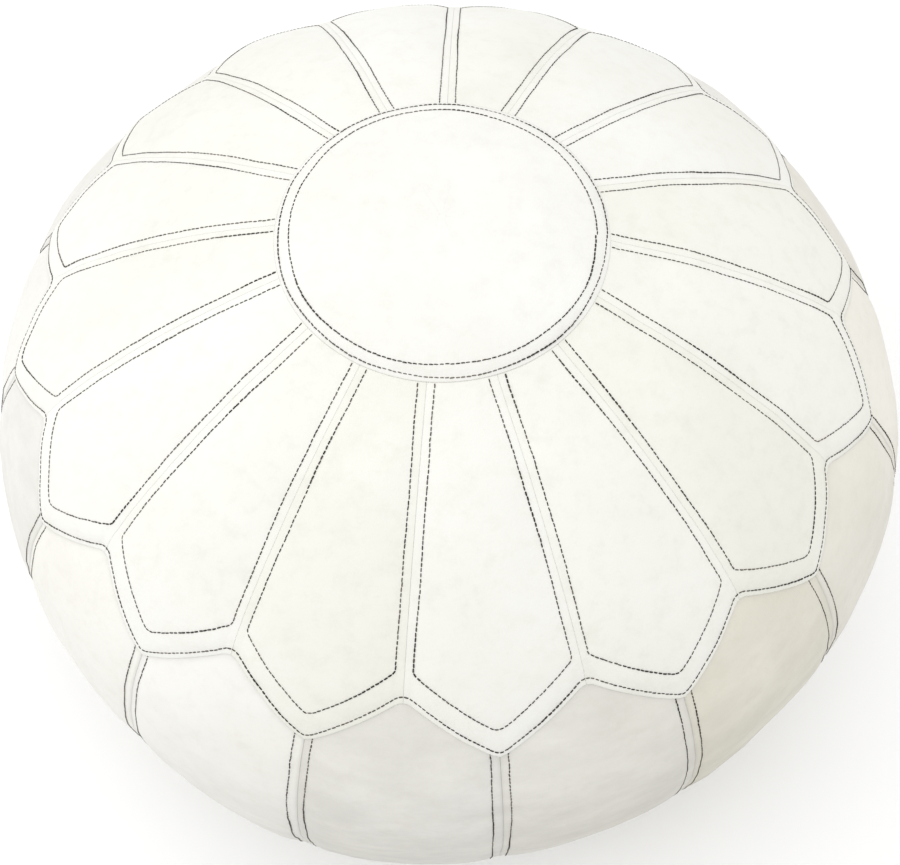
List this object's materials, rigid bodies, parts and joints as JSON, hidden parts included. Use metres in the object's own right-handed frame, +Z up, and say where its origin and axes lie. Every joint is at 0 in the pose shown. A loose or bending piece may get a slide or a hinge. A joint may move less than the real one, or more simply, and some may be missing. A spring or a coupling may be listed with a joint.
{
  "type": "moroccan leather pouf",
  "caption": "Round stuffed leather pouf with a domed top sewn from petals round a medallion, panelled sides, contrast topstitching and a zipped base.",
  "frame": {"origin": "centre of the base on the floor", "axes": "+Z up, -Y the front, where a seam between two petals runs straight down; the zip runs along Y"},
  "size_m": [0.52, 0.52, 0.3364],
  "materials": {
    "leather_medallion": "soft matte",
    "leather_petals": "soft matte",
    "leather_sides": "soft matte",
    "leather_base": "soft matte",
    "thread": "waxed thread",
    "filling": "packed cotton",
    "zip_tape": "woven tape",
    "zip_brass": "satin"
  },
  "bodies": {
    "root": {"stuffing": "filling", "side_panel_01": "leather_sides", "side_panel_02": "leather_sides", "side_panel_03": "leather_sides", "side_panel_04": "leather_sides", "side_panel_05": "leather_sides", "side_panel_06": "leather_sides", "side_panel_07": "leather_sides", "side_panel_08": "leather_sides", "side_panel_09": "leather_sides", "side_panel_10": "leather_sides", "side_panel_11": "leather_sides", "side_panel_12": "leather_sides", "side_panel_13": "leather_sides", "side_panel_14": "leather_sides", "side_panel_15": "leather_sides", "side_panel_16": "leather_sides", "petal_01": "leather_petals", "petal_02": "leather_petals", "petal_03": "leather_petals", "petal_04": "leather_petals", "petal_05": "leather_petals", "petal_06": "leather_petals", "petal_07": "leather_petals", "petal_08": "leather_petals", "petal_09": "leather_petals", "petal_10": "leather_petals", "petal_11": "leather_petals", "petal_12": "leather_petals", "petal_13": "leather_petals", "petal_14": "leather_petals", "petal_15": "leather_petals", "petal_16": "leather_petals", "top_medallion": "leather_medallion", "base_right": "leather_base", "base_left": "leather_base", "thread_medallion": "thread", "thread_petals": "thread", "thread_zigzag": "thread", "thread_side_seams": "thread", "zip_tape_right": "zip_tape", "zip_tape_left": "zip_tape", "zip_teeth_right": "zip_brass", "zip_teeth_left": "zip_brass", "zip_top_stops": "zip_brass", "zip_bottom_stop": "zip_brass"},
    "slider": {"zip_slider": "zip_brass"},
    "pull": {"zip_pull": "zip_brass"}
  },
  "joints": [
    {"name": "zip_slide", "type": "slide", "parent": "root", "child": "slider", "axis": [0, 1, 0], "range_m": [-0.231, 0], "deforming": ["zip_teeth_right", "zip_teeth_left"]},
    {"name": "pull_hinge", "type": "hinge", "parent": "slider", "child": "pull", "pos_m": [0, 0.116, 0.00175], "axis": [1, 0, 0], "range_deg": [0, 150]}
  ]
}
